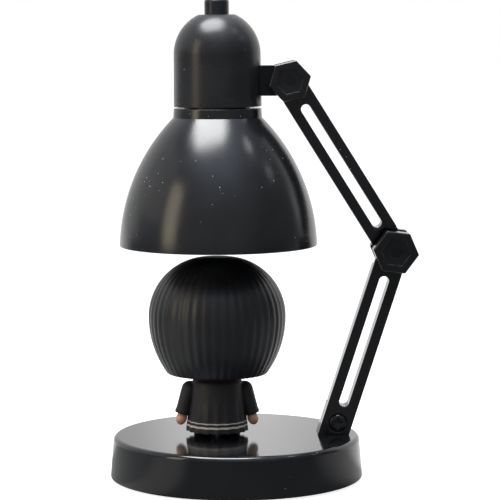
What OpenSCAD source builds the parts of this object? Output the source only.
// Mini desk lamp: a round weighted base, a two-piece swing arm with hex-bolted elbow and head
// joints, a bell shade under a domed battery cap with a push button, and a small doll on the base.
// Millimetres, +Z up. The origin is on the table under the centre of the base. The lamp is seen
// from its front along +Y; the arm lies in the XZ plane and the doll faces +Y.

/* [Base] */
// Radius of the base at its top face
base_top_r = 30.2; // [27.5:0.1:35]
// How far the base's lower edge stands out past its top
base_flare = 0.6; // [0.2:0.1:1.5]
// Height of the top face above the table
base_h = 10.7; // [9:0.1:14]
// Wall of the base shell
base_wall = 2.0; // [1.5:0.1:2.5]
// Rounding of the top edge
base_edge_r = 1.2; // [0.5:0.1:2]
// Thickness of the foam pad under the base
pad_t = 0.6; // [0.4:0.1:1]
// How far the pad's edge lies in from the shell's inside
pad_inset = 1.7; // [0.5:0.1:5]
// Height of the shell's lower edge above the table
shell_lift = 0.3; // [0.1:0.1:0.4]
// Thickness of the plate that closes the base
plate_t = 1.5; // [1.2:0.1:2]
// How far the steel weight's edge lies in from the shell's inside
weight_inset = 8.2; // [7.5:0.1:12]
// Thickness of the ring wall around the weight
weight_ring_t = 1.2; // [0.8:0.1:1.5]
// Number of screws through the base plate
base_screw_n = 3; // [3:1:6]
// Distance of those screws in from the shell's inside
base_screw_inset = 3.6; // [3:0.1:4.2]

/* [Arms] */
// Width of both arms
arm_w = 7.1; // [6.4:0.1:8]
// Thickness of both arms
arm_t = 5.5; // [4.5:0.1:6.5]
// Width of the long slot in each arm
slot_w = 3.0; // [2:0.1:3.6]
// Distance of the foot screw in from the edge of the top face
foot_inset = 5.2; // [4.8:0.1:12]
// Height of the foot screw above the top face
foot_screw_h = 3.1; // [2.8:0.1:4]
// Length of the lower arm, foot screw to elbow
lower_len = 45.1; // [38:0.1:55]
// Lean of the lower arm to the right, in degrees
lower_lean = 17.8; // [10:0.1:22]
// Length of the upper arm, elbow to head joint
upper_len = 49.7; // [44:0.1:58]
// Lean of the upper arm to the left, in degrees
upper_lean = 32.2; // [25:0.1:38]
// From the elbow axis to the slot, both arms
slot_from_elbow = 7.4; // [7.2:0.1:10]
// From the head joint axis to the upper slot
slot_from_head = 7.2; // [7.2:0.1:10]
// From the foot screw to the lower slot
slot_from_foot = 4.8; // [4.4:0.1:8]
// Radius of the half-lap step around each pivot
lap_r = 7.0; // [5:0.1:7.1]
// Width of the lug on the base behind the foot
lug_w = 7.9; // [7:0.1:9]
// Height of the square part of the lug
lug_h = 4.3; // [3:0.1:5]
// From the foot screw to the top of the lug, along the arm
lug_top = 3.9; // [3:0.1:4.2]

/* [Joint bolts] */
// Corner radius of the hex heads and nuts
hex_r = 5.35; // [4.5:0.05:6]
// Height of the hex heads and nuts
hex_h = 3.9; // [3:0.1:5]
// Bevel of the hex edges
hex_bevel = 0.35; // [0.1:0.05:0.6]
// Corner radius of the sunk hex in each head
hex_sink_r = 3.75; // [3:0.05:4]
// Depth of the sunk hex
hex_sink_d = 0.5; // [0.2:0.1:1]
// Corner radius of the key socket
socket_r = 1.6; // [1:0.1:2]
// Depth of the key socket below the sunk hex
socket_d = 1.0; // [0.5:0.1:1.6]
// Radius of the bolt shanks
bolt_r = 1.5; // [1.2:0.05:1.8]
// Turn of the head joint's hex, in degrees
head_hex_turn = 13.8; // [0:0.1:60]
// Turn of the elbow's hex, in degrees
elbow_hex_turn = 53.3; // [0:0.1:60]
// Radius of the friction washers
washer_r = 3.2; // [2.4:0.1:3.2]
// Room for the head to tilt down, in degrees
tilt_down = 7; // [5:0.5:12]

/* [Head] */
// Radius of the cap at its dome
cap_r = 10.65; // [10.4:0.05:12]
// How far the cap's lower edge stands out past its dome
cap_flare = 0.15; // [0:0.05:0.4]
// From the cap's lower edge up to the dome
cap_h = 12.9; // [12:0.1:15]
// From the dome's equator to its flat top
dome_flat_h = 9.7; // [9.3:0.05:10]
// Wall of the dome
cap_wall = 1.4; // [1:0.1:1.6]
// Wall at the dome's flat top
cap_top_wall = 1.6; // [1.2:0.1:2]
// Height of the sleeve that takes the neck
cap_sleeve_h = 8.5; // [7.5:0.1:10]
// From the cap's lower edge up to the head joint
tab_h = 6.4; // [5:0.1:7.5]
// From the cap's lower edge out to the head joint
joint_out = 6.5; // [6:0.1:9]
// Open gap between the cap and the shade
cap_gap = 0.4; // [0.2:0.05:0.8]
// Wall of the neck, seen in that gap, around the cells
neck_wall = 2.05; // [1.9:0.05:2.2]
// Height of the shade's collar
collar_h = 2.5; // [1.5:0.1:3.4]
// How far the collar widens from its top down to the bell
collar_flare = 0.15; // [0:0.05:0.4]
// Height of the bell, crease to rim
bell_h = 31.5; // [27:0.1:36]
// Radius of the bell at its rim
bell_rim_r = 24.4; // [23:0.1:27]
// Radius of the bell's round flank
bell_arc_r = 46.9; // [40:0.1:60]
// Wall of the shade
shade_wall = 1.3; // [1:0.1:1.6]
// Thickness of the ring inside the collar
shade_ring_t = 3.9; // [3.5:0.1:4.5]

/* [Battery and light] */
// Radius of one button cell
cell_r = 5.8; // [5.4:0.1:5.8]
// Height of one button cell
cell_h = 5.4; // [4.8:0.1:5.4]
// Number of button cells
cell_n = 3; // [1:1:3]
// How far the holder's flange stands out past the neck
flange_out = 2.1; // [1.9:0.05:2.2]
// Thickness of that flange
flange_t = 1.7; // [1.2:0.1:2.2]
// Thickness of the battery door
door_t = 2.4; // [2.2:0.1:3]
// Depth of the pocket in the door for the circuit board
door_pocket_d = 1.2; // [1:0.1:1.4]
// Edge of the circuit board outside the contact strip
board_edge = 0.5; // [0.3:0.1:0.8]
// Thickness of the circuit board
board_t = 0.8; // [0.6:0.1:1]
// Height of the contact spring under the cells
contact_h = 1.4; // [1.2:0.1:1.6]
// Thickness of the contact on top of the cells
contact_t = 0.2; // [0.1:0.05:0.3]
// Thickness of the deck that carries the switch
deck_t = 1.0; // [0.8:0.1:1.2]
// Distance of the door screws in from the flange's edge
door_screw_inset = 1.0; // [0.9:0.05:1.05]
// Radius of the light's body
led_r = 2.5; // [1.5:0.1:2.6]
// Length of the light's straight body below its flange
led_len = 5.2; // [4:0.1:8]
// Width of the strip from the board up to the switch
strip_w = 1.8; // [1.2:0.1:2]
// Length and width of the switch
switch_w = 6.0; // [5:0.1:7]
// Height of the switch
switch_h = 2.6; // [2.4:0.1:2.8]

/* [Button] */
// Radius of the push button
button_r = 3.0; // [2.4:0.05:3.4]
// Height of the button above the dome
button_up = 3.45; // [2.5:0.05:5]
// Bevel at the button's top edge
button_bevel = 0.35; // [0.1:0.05:0.6]
// Travel of the button
button_travel = 1.2; // [0.8:0.1:1.4]
// How far the flange that keeps the button in stands out
button_lip = 1.0; // [0.6:0.1:1.1]
// Thickness of that flange
button_flange_t = 1.3; // [1:0.1:1.6]
// Radius of the stem that enters the switch
stem_r = 1.15; // [0.9:0.05:1.2]
// Wire of the button's spring
spring_wire = 0.4; // [0.3:0.05:0.45]
// Curls of the button's spring
spring_turns = 4; // [3:1:4]

/* [Doll] */
// Place of the doll, right of the centre of the base
doll_x = -5.0; // [-10:0.1:2]
// Height of the dress hem above the base
hem_h = 1.1; // [0.6:0.1:2]
// Radius of the dress at its hem
hem_r = 7.9; // [7:0.1:9]
// Radius of the dress at the shoulders
shoulder_r = 6.2; // [5.4:0.1:6.6]
// Height of the dress
dress_h = 12.9; // [12:0.1:15]
// Radius of the hair's round
hair_round_r = 14.8; // [13:0.1:16]
// Radius of the flat crown of the hair
hair_crown_r = 2.2; // [1:0.1:3]
// Thickness of the hair
hair_t = 1.8; // [1.2:0.1:2.4]
// How far the sides of the hair hang below the middle of the head
hair_drop = 14.2; // [11:0.1:14.6]
// Radius of the round of the hair's sides
hair_side_r = 24; // [20:0.5:40]
// Half of the width of the face opening
face_r = 9.6; // [8:0.1:11]
// Height of the fringe's edge above the middle of the head
fringe_up = 2.2; // [0:0.1:5]
// Length of a sleeve
sleeve_len = 6.4; // [5:0.1:7.5]
// Radius of a sleeve at the shoulder
sleeve_r = 2.1; // [1.6:0.1:2.4]
// Radius of a sleeve at the cuff
cuff_r = 1.9; // [1.5:0.1:2.2]
// Spread of the sleeves, in degrees
sleeve_lean = 16; // [12:1:24]
// Radius of a hand
hand_r = 1.8; // [1.4:0.1:2]
// Radius of a leg
leg_r = 1.9; // [1.5:0.1:2.2]
// Half of the distance between the legs
leg_x = 3.4; // [3.2:0.1:4]
// How far a leg reaches into the dress
leg_in = 3.0; // [2:0.1:4]

/* [Fits] */
// Gap of a seated fit
fit_gap = 0.05; // [0.02:0.01:0.08]
// Radial gap of a turning or sliding shaft
run_gap = 0.06; // [0.03:0.01:0.1]
// Gap between faces that turn past each other
face_gap = 0.12; // [0.08:0.01:0.2]
// Gap between the halves of a half-lap joint
lap_gap = 0.4; // [0.3:0.05:0.6]
// Gap around parts that must not touch
clear_gap = 0.3; // [0.2:0.05:0.4]

/* [Hidden] */
$fn = 96;
eps = 0.01;
over = 1;
far = 200;

BLACK_GLOSS = "#16171a";
BLACK_SATIN = "#26282b";
STEEL = "#a8a9ab";
BRASS = "#b9995a";
FOAM = "#1b1b1c";
SKIN = "#e3b393";

// Screws
screw_r = 0.55;
screw_head_r = 1.1;
screw_head_h = 0.8;
base_screw_r = 1.0;
base_screw_head_r = 1.9;
base_screw_head_h = 0.9;
base_screw_len = 5.5;
foot_screw_r = 1.0;
foot_screw_head_r = 2.1;
foot_screw_head_h = 0.8;
foot_sink_d = 0.9;
foot_bore_floor = 0.4;
foot_screw_floor = 0.6;
doll_screw_r = 1.0;
doll_screw_head_r = 2.0;
doll_screw_head_h = 1.3;
doll_screw_in = 6.0;
door_bore_floor = 1.0;
door_screw_floor = 1.4;
drive_d = 0.4;
drive_w = 0.4;

// Base, from the table upwards
plate_z = pad_t;
plate_top = plate_z + plate_t;
shell_under = base_h - base_wall;
base_r = base_top_r + base_flare;
shell_in_r = base_top_r - base_wall;
plate_r = shell_in_r - fit_gap;
pad_r = shell_in_r - pad_inset;
weight_r = shell_in_r - weight_inset;
base_screw_pitch_r = shell_in_r - base_screw_inset;
weight_hole_r = doll_screw_head_r + clear_gap;
boss_wall = 1.4;
boss_r = base_screw_r + boss_wall;
weight_room_r = weight_r + clear_gap;
room_h = shell_under - plate_top;
lug_out = 0.6;
lug_x0 = -foot_screw_h * tan(lower_lean) - arm_w / 2 / cos(lower_lean) - lug_out;

// Swing arm
foot_x = base_top_r - foot_inset;
foot_z = base_h + foot_screw_h;
elbow_x = foot_x + lower_len * sin(lower_lean);
elbow_z = foot_z + lower_len * cos(lower_lean);
pivot_x = elbow_x - upper_len * sin(upper_lean);
pivot_z = elbow_z + upper_len * cos(upper_lean);
half_t = arm_t / 2;
washer_t = lap_gap - 2 * fit_gap;

// Head, from the cap's lower edge up and down
cell_gap = 0.15;
cell_bore_r = cell_r + cell_gap;
neck_r = cell_bore_r + neck_wall;
flange_r = neck_r + flange_out;
door_screw_pitch_r = flange_r - door_screw_inset;
cap_foot_r = cap_r + cap_flare;
collar_top_r = cap_foot_r;
collar_r = collar_top_r + collar_flare;
head_reach = cap_foot_r + joint_out;
head_x = pivot_x - head_reach;
cap_z = pivot_z - tab_h;
cap_top = cap_h + dome_flat_h;
ceiling = cap_top - cap_top_wall;
cavity_r = cap_r - cap_wall;
sleeve_bore_r = neck_r + fit_gap;
collar_top = -cap_gap;
crease = collar_top - collar_h;
ring_under = collar_top - shade_ring_t;
rim = crease - bell_h;
flange_under = ring_under - flange_t;
door_under = flange_under - door_t;
board_under = flange_under - door_pocket_d;
board_top = board_under + board_t;
cells_under = board_top + contact_h;
cells_top = cells_under + cell_n * cell_h;
deck_under = cells_top + contact_t;
deck_top = deck_under + deck_t;
switch_top = deck_top + switch_h;
flange_top = ceiling - face_gap;
button_flange_under = flange_top - button_flange_t;
cell_step = 0.8;
top_contact_r = 4.4;
contact_foot_r = 3.8;
contact_tip_r = 1.6;
contact_wire = 0.4;
contact_turns = 2;
strip_t = 0.3;
strip_wall = 0.25;
strip_x = cell_bore_r + strip_wall;
board_r = strip_x + strip_t + board_edge;
slot_in_holder = strip_w + 2 * fit_gap;
button_flange_r = button_r + button_lip;
stem_in = 0.7;
spring_out = 0.75;
spring_r = stem_r + spring_out;
tab_root = 1.0;
bayonet_z = 4.0;
bayonet_t = 1.4;
bayonet_w = 3.0;
bayonet_out = 0.8;
bayonet_turn = 45;
bayonet_r = neck_r + bayonet_out;
groove_r = bayonet_r + fit_gap;
led_flange_out = 0.4;
led_flange_r = led_r + led_flange_out;
led_flange_t = 1.0;

// Round flank of the bell: the circle of radius bell_arc_r through the crease and the rim
chord_x = bell_rim_r - collar_r;
chord = norm([chord_x, bell_h]);
sagitta_run = sqrt(pow(bell_arc_r, 2) - pow(chord / 2, 2));
bell_cx = (bell_rim_r + collar_r) / 2 - sagitta_run * bell_h / chord;
bell_cz = (crease + rim) / 2 - sagitta_run * chord_x / chord;

// Doll, from the top face of the base upwards
dress_top = hem_h + dress_h;
head_lift = 0.8;
head_mid = dress_top + hair_round_r + head_lift;
skull_r = hair_round_r - hair_t;
shoulder_out = 0.6;
neck_peg_r = 2.4;
nape_r = 9.0;
neck_peg_in = 2.5;
neck_peg_top = head_mid - skull_r + neck_peg_in;
shoe_out = 0.5;
hand_down = 1.1;

// A bar of the swing arm in the drawing plane, from the origin up, with a straight tail below it
module bar_outline(len, tail) {
    translate([-arm_w / 2, -tail])
        square([arm_w, len + tail]);
    translate([0, len])
        circle(d = arm_w);
    if (tail == 0)
        circle(d = arm_w);
}

// A slot with round ends along the bar
module slot_outline(from, to) {
    translate([-slot_w / 2, from + slot_w / 2])
        square([slot_w, to - from - slot_w]);
    for (end = [from + slot_w / 2, to - slot_w / 2])
        translate([0, end])
            circle(d = slot_w);
}

// Puts a drawing (x right, y up, z towards the front) at a joint, leaning to the right
module at_joint(x, z, lean) {
    translate([x, 0, z])
        rotate([0, lean, 0])
            rotate([90, 0, 0])
                children();
}

module on_head() {
    translate([head_x, 0, cap_z])
        children();
}

module on_base() {
    translate([doll_x, 0, base_h])
        children();
}

// A hex prism with its upper edges bevelled
module hex_block() {
    flat_r = hex_r * cos(30);
    cut = hex_bevel * sqrt(2);
    difference() {
        cylinder(r = hex_r, h = hex_h, $fn = 6);
        for (side = [0:5])
            rotate([0, 0, 30 + 60 * side])
                translate([flat_r, 0, hex_h])
                    rotate([0, 45, 0])
                        cube([cut, 2 * hex_r, cut], center = true);
    }
}

// The sunk hex and key socket in a hex face
module hex_sink() {
    translate([0, 0, hex_h - hex_sink_d])
        cylinder(r = hex_sink_r, h = far, $fn = 6);
    translate([0, 0, hex_h - hex_sink_d - socket_d])
        cylinder(r = socket_r, h = far, $fn = 6);
}

// A bolt through a half-lap, head towards the front
module joint_bolt(turn) {
    translate([0, 0, half_t])
        rotate([0, 0, turn])
            difference() {
                hex_block();
                hex_sink();
            }
    translate([0, 0, -half_t - face_gap - hex_h + hex_sink_d])
        cylinder(r = bolt_r, h = arm_t + face_gap + hex_h - hex_sink_d + eps);
}

// The nut at the back of a half-lap
module joint_nut(turn) {
    translate([0, 0, -half_t - face_gap])
        rotate([180, 0, turn])
            difference() {
                hex_block();
                translate([0, 0, hex_h - hex_sink_d])
                    cylinder(r = hex_sink_r, h = far, $fn = 6);
                translate([0, 0, -over])
                    cylinder(r = bolt_r + fit_gap, h = far);
            }
}

module joint_washer() {
    translate([0, 0, -washer_t / 2])
        difference() {
            cylinder(r = washer_r, h = washer_t);
            translate([0, 0, -over])
                cylinder(r = bolt_r + run_gap, h = far);
        }
}

// A screw along +Z with its head below the origin and a slot across the head
module screw(shank_r, head_r, head_h, len) {
    difference() {
        translate([0, 0, -head_h])
            cylinder(r = head_r, h = head_h);
        translate([-far / 2, -drive_w / 2, -head_h - over])
            cube([far, drive_w, drive_d + over]);
    }
    cylinder(r = shank_r, h = len);
}

// Points of a wire ring across a curl at a share of the way along it
function curl_r(r0, r1, share) = r0 + (r1 - r0) * share;
function curl_point(r0, r1, rise, turns, wire, share, side) =
    let (turn = 360 * turns * share)
    let (around = 60 * side)
    let (out = curl_r(r0, r1, share) + wire / 2 * cos(around))
    [out * cos(turn), out * sin(turn), wire / 2 + rise * share + wire / 2 * sin(around)];

// One unbroken wire wound from radius r0 at z = 0 to r1 at the top
module coil(r0, r1, height, turns, wire) {
    rings = 8 * turns;
    rise = height - wire;
    points = [for (ring = [0:rings], side = [0:5])
        curl_point(r0, r1, rise, turns, wire, ring / rings, side)];
    walls = [for (ring = [0:rings - 1], side = [0:5], half = [0, 1])
        let (a = 6 * ring + side)
        let (b = 6 * ring + (side + 1) % 6)
        half == 0 ? [a, b, a + 6] : [b, b + 6, a + 6]];
    first = [for (side = [1:4]) [0, side + 1, side]];
    last = [for (side = [1:4]) [6 * rings, 6 * rings + side, 6 * rings + side + 1]];
    centres = [for (ring = [0:rings])
        let (share = ring / rings)
        let (turn = 360 * turns * share)
        curl_r(r0, r1, share) * [cos(turn), sin(turn), 0] + [0, 0, rise * share]];
    gaps = [for (a = [0:rings], b = [0:rings]) if (b >= a + 5) norm(centres[a] - centres[b]) - wire];
    echo(least_gap_between_curls = min(gaps));
    polyhedron(points, concat(walls, first, last));
}

// Round shell with a lug for the arm, a ring wall around the weight and screw bosses
module base_shell() {
    color(BLACK_GLOSS)
        difference() {
            union() {
                difference() {
                    rotate_extrude()
                        base_outline();
                    translate([0, 0, -over])
                        cylinder(r = shell_in_r, h = shell_under + over);
                }
                translate([0, 0, plate_top])
                    difference() {
                        cylinder(r = weight_room_r + weight_ring_t, h = room_h + eps);
                        translate([0, 0, -over])
                            cylinder(r = weight_room_r, h = far);
                    }
                base_screw_places()
                    translate([0, 0, plate_top])
                        cylinder(r = boss_r, h = room_h + eps);
                foot_lug();
            }
            base_screw_places()
                translate([0, 0, plate_top - eps])
                    cylinder(r = base_screw_r + fit_gap, h = base_screw_len - plate_t + 2 * fit_gap);
            translate([doll_x, 0, -eps])
                cylinder(r = doll_screw_r + fit_gap, h = far);
            foot_screw_bore();
        }
}

module base_outline() {
    polygon([
        [0, shell_lift], [base_r, shell_lift], [base_top_r, base_h - base_edge_r],
        [base_top_r - base_edge_r, base_h], [0, base_h]
    ]);
    translate([base_top_r - base_edge_r, base_h - base_edge_r])
        circle(r = base_edge_r);
}

module base_screw_places() {
    for (screw = [0:base_screw_n - 1])
        rotate([0, 0, 180 + 360 / base_screw_n * screw])
            translate([base_screw_pitch_r, 0, 0])
                children();
}

// The lug is the rear half of the foot's half-lap
module foot_lug() {
    at_joint(foot_x, foot_z, 0)
        translate([0, 0, -half_t])
            linear_extrude(half_t)
                lug_outline();
}

module lug_outline() {
    sunk = foot_screw_h + eps;
    translate([lug_x0, -sunk])
        square([lug_w, lug_h]);
    intersection() {
        rotate(-lower_lean)
            translate([-arm_w / 2, -far / 2])
                square([arm_w, far / 2 + lug_top]);
        translate([-far / 2, -sunk])
            square(far);
    }
}

module foot_screw_bore() {
    at_joint(foot_x, foot_z, lower_lean)
        translate([0, 0, -half_t + foot_bore_floor])
            cylinder(r = foot_screw_r + fit_gap, h = arm_t);
}

module base_plate() {
    color(BLACK_GLOSS)
        difference() {
            translate([0, 0, plate_z])
                cylinder(r = plate_r, h = plate_t);
            base_screw_places()
                translate([0, 0, -over])
                    cylinder(r = base_screw_r + fit_gap, h = far);
            base_screw_places()
                cylinder(r = base_screw_head_r + fit_gap, h = plate_z + base_screw_head_h);
        }
}

module base_weight() {
    color(STEEL)
        translate([0, 0, plate_top])
            difference() {
                cylinder(r = weight_r, h = room_h - clear_gap);
                translate([doll_x, 0, -over])
                    cylinder(r = weight_hole_r, h = far);
            }
}

module base_screws() {
    color(STEEL)
        base_screw_places()
            translate([0, 0, plate_z + base_screw_head_h])
                screw(base_screw_r, base_screw_head_r, base_screw_head_h,
                    base_screw_len - base_screw_head_h);
}

module foot_pad() {
    color(FOAM)
        cylinder(r = pad_r, h = pad_t);
}

// Lower arm: front half at the elbow, and cut level at the foot where it stands on the base
module lower_arm() {
    tail = 2 * arm_w;
    color(BLACK_GLOSS)
        difference() {
            at_joint(foot_x, foot_z, lower_lean)
                difference() {
                    translate([0, 0, -half_t])
                        linear_extrude(arm_t)
                            difference() {
                                bar_outline(lower_len, tail);
                                slot_outline(slot_from_foot, lower_len - slot_from_elbow);
                            }
                    translate([0, lower_len, lap_gap / 2 - arm_t])
                        cylinder(r = lap_r, h = arm_t);
                    translate([0, lower_len, 0])
                        cylinder(r = bolt_r + fit_gap, h = arm_t);
                    translate([-arm_w, -far / 2, -arm_t])
                        cube([2 * arm_w, far / 2 + lug_top + fit_gap, arm_t]);
                    translate([0, 0, half_t - foot_sink_d])
                        cylinder(r = foot_screw_head_r + clear_gap, h = arm_t);
                    translate([0, 0, -arm_t])
                        cylinder(r = foot_screw_r + fit_gap, h = 2 * arm_t);
                }
            translate([-far / 2, -far / 2, base_h - far])
                cube(far);
        }
}

module foot_screw() {
    color(STEEL)
        at_joint(foot_x, foot_z, lower_lean)
            translate([0, 0, half_t - foot_sink_d])
                rotate([180, 0, 45])
                    screw(foot_screw_r, foot_screw_head_r, foot_screw_head_h,
                        arm_t - foot_sink_d - foot_screw_floor);
}

// Upper arm: rear half at the elbow, front half at the head
module upper_arm() {
    color(BLACK_GLOSS)
        at_joint(elbow_x, elbow_z, -upper_lean)
            difference() {
                translate([0, 0, -half_t])
                    linear_extrude(arm_t)
                        difference() {
                            bar_outline(upper_len, 0);
                            slot_outline(slot_from_elbow, upper_len - slot_from_head);
                        }
                translate([0, 0, -lap_gap / 2])
                    cylinder(r = lap_r, h = arm_t);
                translate([0, upper_len, lap_gap / 2 - arm_t])
                    cylinder(r = lap_r, h = arm_t);
                translate([0, 0, -arm_t])
                    cylinder(r = bolt_r + run_gap, h = 2 * arm_t);
                translate([0, upper_len, -arm_t])
                    cylinder(r = bolt_r + fit_gap, h = 2 * arm_t);
            }
}

module elbow_bolt() {
    color(BLACK_GLOSS)
        at_joint(elbow_x, elbow_z, 0)
            joint_bolt(elbow_hex_turn);
}

module elbow_nut() {
    color(BLACK_GLOSS)
        at_joint(elbow_x, elbow_z, 0)
            joint_nut(elbow_hex_turn);
}

module elbow_washer() {
    color(FOAM)
        at_joint(elbow_x, elbow_z, 0)
            joint_washer();
}

module head_bolt() {
    color(BLACK_GLOSS)
        at_joint(pivot_x, pivot_z, 0)
            joint_bolt(head_hex_turn);
}

module head_nut() {
    color(BLACK_GLOSS)
        at_joint(pivot_x, pivot_z, 0)
            joint_nut(head_hex_turn);
}

module head_washer() {
    color(FOAM)
        at_joint(pivot_x, pivot_z, 0)
            joint_washer();
}

// Domed cap with the hinge tab, a sleeve for the neck and a groove for the neck's bayonet lugs
module cap_housing() {
    color(BLACK_SATIN)
        difference() {
            union() {
                on_head()
                    cylinder(r1 = cap_foot_r, r2 = cap_r, h = cap_h);
                on_head()
                    translate([0, 0, cap_h])
                        intersection() {
                            sphere(r = cap_r);
                            translate([0, 0, -cap_r])
                                cylinder(r = far, h = cap_r + dome_flat_h);
                        }
                hinge_tab();
            }
            on_head()
                cap_inside();
        }
}

module hinge_tab() {
    start = cap_r - tab_root - head_reach;
    at_joint(pivot_x, pivot_z, 0)
        difference() {
            translate([0, 0, -half_t])
                linear_extrude(arm_t) {
                    translate([start, -arm_w / 2])
                        square([-start, arm_w]);
                    circle(d = arm_w);
                }
            translate([0, 0, -lap_gap / 2])
                linear_extrude(arm_t)
                    arm_room();
            translate([0, 0, -arm_t])
                cylinder(r = bolt_r + run_gap, h = 2 * arm_t);
        }
}

// Room in front of the tab for the arm's end, at the head's lowest tilt
module arm_room() {
    room = arm_w / 2 + clear_gap;
    circle(r = room);
    rotate(upper_lean - tilt_down)
        translate([-room, -lap_r])
            square([2 * room, lap_r]);
}

module cap_inside() {
    translate([0, 0, -over])
        cylinder(r = sleeve_bore_r, h = cap_sleeve_h + 2 * over);
    translate([0, 0, cap_sleeve_h])
        cylinder(r = cavity_r, h = cap_h - cap_sleeve_h);
    translate([0, 0, cap_h - eps])
        intersection() {
            sphere(r = cavity_r);
            cylinder(r = far, h = ceiling - cap_h + eps);
        }
    cylinder(r = button_r + run_gap, h = far);
    translate([0, 0, bayonet_z - fit_gap])
        cylinder(r = groove_r, h = bayonet_t + 2 * fit_gap);
    rotate([0, 0, bayonet_turn])
        translate([-groove_r, -bayonet_w / 2 - clear_gap, -over])
            cube([2 * groove_r, bayonet_w + 2 * clear_gap, bayonet_z + bayonet_t + over]);
}

// Bell shade with a plain collar; the ring inside the collar is screwed to the holder's flange
module shade() {
    color(BLACK_SATIN)
        on_head()
            difference() {
                rotate_extrude()
                    difference() {
                        union() {
                            bell_outline(bell_arc_r, rim, crease);
                            polygon([[0, crease - eps], [collar_r, crease - eps], [collar_r, crease],
                                [collar_top_r, collar_top], [0, collar_top]]);
                        }
                        bell_outline(bell_arc_r - shade_wall, rim - over, ring_under);
                        translate([0, ring_under - over])
                            square([sleeve_bore_r, far]);
                    }
                door_screw_places()
                    translate([0, 0, ring_under - over])
                        cylinder(r = screw_r + fit_gap, h = over + shade_ring_t - door_bore_floor);
            }
}

// Half section under the bell's round flank, between two heights
module bell_outline(arc_r, low, high) {
    intersection() {
        translate([bell_cx, bell_cz])
            circle(r = arc_r, $fn = 256);
        translate([0, low])
            square([far, high - low]);
    }
}

module door_screw_places() {
    for (side = [90, 270])
        rotate([0, 0, side])
            translate([door_screw_pitch_r, 0, 0])
                children();
}

// Tube that holds the cells, seen as the neck between the cap and the shade
module battery_holder() {
    color(BLACK_GLOSS)
        on_head()
            difference() {
                union() {
                    translate([0, 0, flange_under])
                        cylinder(r = flange_r, h = flange_t);
                    translate([0, 0, flange_under])
                        cylinder(r = neck_r, h = deck_top - flange_under);
                    intersection() {
                        translate([-far / 2, -bayonet_w / 2, bayonet_z])
                            cube([far, bayonet_w, bayonet_t]);
                        translate([0, 0, bayonet_z - over])
                            cylinder(r = bayonet_r, h = bayonet_t + 2 * over);
                    }
                }
                translate([0, 0, flange_under - over])
                    cylinder(r = cell_bore_r, h = deck_under - flange_under + over);
                translate([-strip_x - strip_t - fit_gap, -slot_in_holder / 2, flange_under - over])
                    cube([strip_t + fit_gap + strip_wall + clear_gap, slot_in_holder, far]);
                door_screw_places()
                    translate([0, 0, flange_under - over])
                        cylinder(r = screw_r + fit_gap, h = flange_t + 2 * over);
            }
}

module battery_cells() {
    color(STEEL)
        on_head()
            for (cell = [0:cell_n - 1])
                translate([0, 0, cells_under + cell * cell_h]) {
                    cylinder(r = cell_r, h = cell_h - cell_step);
                    cylinder(r = cell_r - cell_step, h = cell_h - fit_gap);
                }
}

module top_contact() {
    color(BRASS)
        on_head()
            translate([0, 0, cells_top])
                cylinder(r = top_contact_r, h = contact_t);
}

module contact_strip() {
    color(BRASS)
        on_head()
            translate([-strip_x - strip_t, -strip_w / 2, board_top])
                cube([strip_t, strip_w, deck_top - board_top]);
}

module contact_spring() {
    color(BRASS)
        on_head()
            translate([0, 0, board_top])
                coil(contact_foot_r, contact_tip_r, contact_h, contact_turns, contact_wire);
}

module led_board() {
    color("#1f5a3a")
        on_head()
            translate([0, 0, board_under])
                cylinder(r = board_r, h = board_t);
}

module led() {
    color("#f3f1e6")
        on_head()
            translate([0, 0, board_under])
                rotate([180, 0, 0]) {
                    cylinder(r = led_flange_r, h = led_flange_t);
                    cylinder(r = led_r, h = led_flange_t + led_len);
                    translate([0, 0, led_flange_t + led_len])
                        sphere(r = led_r);
                }
}

module battery_door() {
    color(BLACK_GLOSS)
        on_head()
            difference() {
                translate([0, 0, door_under])
                    cylinder(r = flange_r, h = door_t);
                translate([0, 0, board_under])
                    cylinder(r = board_r + fit_gap, h = far);
                translate([0, 0, door_under - over])
                    cylinder(r = led_flange_r + fit_gap, h = far);
                door_screw_places()
                    translate([0, 0, door_under - over])
                        cylinder(r = screw_r + fit_gap, h = far);
            }
}

module door_screws() {
    color(STEEL)
        on_head()
            door_screw_places()
                translate([0, 0, door_under])
                    screw(screw_r, screw_head_r, screw_head_h,
                        door_t + flange_t + shade_ring_t - door_screw_floor);
}

module switch_body() {
    color(BLACK_GLOSS)
        on_head()
            difference() {
                translate([-switch_w / 2, -switch_w / 2, deck_top])
                    cube([switch_w, switch_w, switch_h]);
                translate([0, 0, switch_top - stem_in - button_travel - clear_gap])
                    cylinder(r = stem_r + run_gap, h = far);
            }
}

module button_spring() {
    color(STEEL)
        on_head()
            translate([0, 0, switch_top])
                coil(spring_r, spring_r, button_flange_under - switch_top, spring_turns, spring_wire);
}

module push_button() {
    color(BLACK_GLOSS)
        on_head() {
            translate([0, 0, button_flange_under])
                cylinder(r = button_flange_r, h = button_flange_t);
            translate([0, 0, button_flange_under])
                cylinder(r = button_r, h = cap_top + button_up - button_bevel - button_flange_under);
            translate([0, 0, cap_top + button_up - button_bevel])
                cylinder(r1 = button_r, r2 = button_r - button_bevel, h = button_bevel);
            translate([0, 0, switch_top - stem_in])
                cylinder(r = stem_r, h = button_flange_under + eps - switch_top + stem_in);
        }
}

module doll_legs() {
    color(BLACK_GLOSS)
        on_base()
            for (side = [-1, 1])
                translate([side * leg_x, 0, 0]) {
                    cylinder(r = leg_r, h = hem_h + leg_in);
                    cylinder(r = leg_r + shoe_out, h = hem_h - fit_gap);
                }
}

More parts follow.
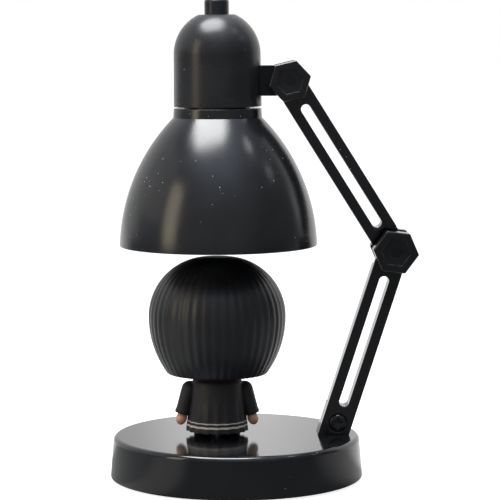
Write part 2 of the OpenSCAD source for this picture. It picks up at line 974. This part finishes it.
module doll_dress() {
    color(BLACK_SATIN)
        on_base()
            difference() {
                union() {
                    dress_body(0);
                    translate([0, 0, dress_top - eps])
                        cylinder(r = neck_peg_r, h = neck_peg_top - dress_top + eps);
                }
                for (side = [-1, 1])
                    translate([side * leg_x, 0, 0])
                        cylinder(r = leg_r + fit_gap, h = hem_h + leg_in + fit_gap);
                cylinder(r = doll_screw_r + fit_gap, h = hem_h + doll_screw_in + fit_gap);
            }
}

module dress_body(grow) {
    translate([0, 0, hem_h])
        cylinder(r1 = hem_r + grow, r2 = shoulder_r + grow, h = dress_h);
}

// Puts an arm's drawing at each shoulder, hanging down
module at_shoulders() {
    for (side = [-1, 1])
        translate([side * (shoulder_r + shoulder_out), 0, dress_top - sleeve_r - shoulder_out])
            rotate([0, -side * sleeve_lean, 0])
                children();
}

module doll_sleeves() {
    color(BLACK_SATIN)
        on_base()
            difference() {
                at_shoulders() {
                    translate([0, 0, -sleeve_len])
                        cylinder(r1 = cuff_r, r2 = sleeve_r, h = sleeve_len);
                    sphere(r = sleeve_r);
                }
                dress_body(fit_gap);
            }
}

module doll_hands() {
    color(SKIN)
        on_base()
            difference() {
                at_shoulders()
                    translate([0, 0, -sleeve_len])
                        intersection() {
                            translate([0, 0, -hand_down])
                                sphere(r = hand_r);
                            translate([0, 0, -far])
                                cylinder(r = far, h = far);
                        }
                dress_body(fit_gap);
            }
}

// A round head: a ring-shaped flank around a flat crown
module round_outline(flank_r) {
    intersection() {
        translate([hair_crown_r, 0])
            circle(r = flank_r);
        translate([0, -far / 2])
            square(far);
    }
    translate([0, -flank_r])
        square([hair_crown_r, 2 * flank_r]);
}

module round_head(flank_r) {
    translate([0, 0, head_mid])
        rotate_extrude()
            round_outline(flank_r);
}

// Half section of a bob: round above the middle of the head, drawn in below it to a level hem
module bob_outline() {
    intersection() {
        round_outline(hair_round_r);
        square(far);
    }
    intersection() {
        translate([hair_crown_r + hair_round_r - hair_side_r, 0])
            circle(r = hair_side_r);
        translate([0, -hair_drop])
            square([far, hair_drop]);
    }
}

// Arch in front of the face, up to the fringe's edge
module face_opening() {
    intersection() {
        union() {
            rotate([-90, 0, 0])
                cylinder(r = face_r, h = far);
            translate([-face_r, 0, -far])
                cube([2 * face_r, far, far]);
        }
        translate([-far / 2, 0, fringe_up - far])
            cube(far);
    }
}

module doll_head() {
    color(SKIN)
        on_base()
            difference() {
                round_head(skull_r);
                translate([0, 0, head_mid - skull_r - over])
                    cylinder(r = neck_peg_r + fit_gap, h = neck_peg_in + fit_gap + over);
            }
}

// Half of the hair around the skull, open at the neck
module hair_half() {
    difference() {
        rotate_extrude(angle = 180)
            difference() {
                bob_outline();
                round_outline(skull_r + fit_gap);
            }
        translate([0, 0, -far])
            cylinder(r = nape_r, h = far);
    }
}

// The back half of the hair
module doll_hair() {
    color(BLACK_SATIN)
        on_base()
            translate([0, 0, head_mid])
                rotate([0, 0, 180])
                    hair_half();
}

// The front half of the hair, with the opening for the face
module doll_fringe() {
    color(BLACK_SATIN)
        on_base()
            translate([0, fit_gap, head_mid])
                difference() {
                    hair_half();
                    face_opening();
                }
}

module doll_screw() {
    color(STEEL)
        translate([doll_x, 0, shell_under])
            screw(doll_screw_r, doll_screw_head_r, doll_screw_head_h, base_wall + hem_h + doll_screw_in);
}

base_shell();
base_plate();
base_weight();
base_screws();
foot_pad();
lower_arm();
foot_screw();
elbow_bolt();
elbow_washer();
elbow_nut();
upper_arm();
head_bolt();
head_washer();
head_nut();
cap_housing();
shade();
battery_holder();
battery_cells();
top_contact();
contact_strip();
contact_spring();
led_board();
led();
battery_door();
door_screws();
switch_body();
button_spring();
push_button();
doll_legs();
doll_dress();
doll_sleeves();
doll_hands();
doll_head();
doll_hair();
doll_fringe();
doll_screw();
